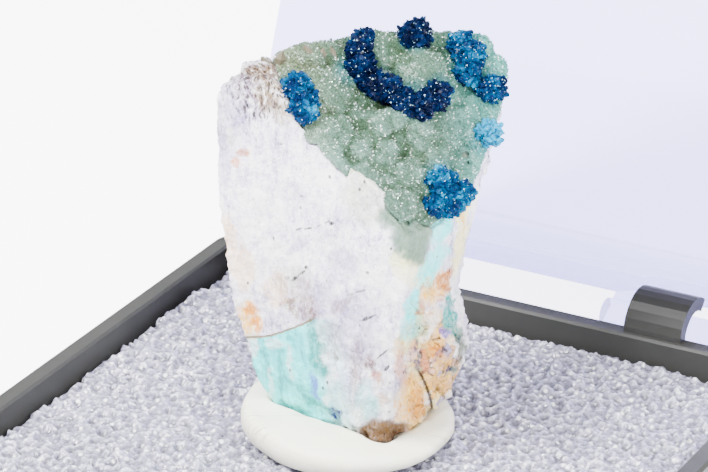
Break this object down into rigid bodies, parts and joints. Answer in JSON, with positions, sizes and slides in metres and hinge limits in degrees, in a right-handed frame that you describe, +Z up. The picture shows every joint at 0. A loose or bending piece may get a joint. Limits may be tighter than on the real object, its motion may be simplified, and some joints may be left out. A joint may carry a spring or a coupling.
{
  "type": "veszelyite mineral specimen in a hinged box",
  "caption": "Blue veszelyite crystal groups on green druse and pale matrix rock, set in putty on foam in a small specimen box with a hinged clear lid.",
  "frame": {"origin": "centre of the box's foot, on the surface it rests on", "axes": "+X along the hinge, +Y towards the hinge, +Z up"},
  "size_m": [0.032, 0.0676, 0.0383],
  "materials": {
    "dark_plastic": "dark grey, smooth",
    "clear_plastic": "clear plastic, faint violet tint",
    "white_foam": "open-cell foam",
    "cream_putty": "soft putty, matt",
    "pale_rock": "broken rock, stained",
    "druse_green": "fine sparkling druse",
    "crystal_blue": "vitreous"
  },
  "bodies": {
    "base": {"box_base": "dark_plastic", "foam_pad": "white_foam", "putty": "cream_putty", "matrix_rock": "pale_rock", "green_druse": "druse_green", "blue_crystals_left": "crystal_blue", "blue_crystals_arc": "crystal_blue", "blue_crystals_back": "crystal_blue", "blue_crystals_corner": "crystal_blue", "blue_crystals_right": "crystal_blue", "blue_crystals_edge": "crystal_blue", "blue_crystals_front": "crystal_blue"},
    "lid": {"box_lid": "clear_plastic"}
  },
  "joints": [
    {"name": "lid_hinge", "type": "hinge", "parent": "base", "child": "lid", "pos_m": [0, 0.0171, 0.0078], "axis": [1, 0, 0], "range_deg": [0, 111.9]}
  ]
}
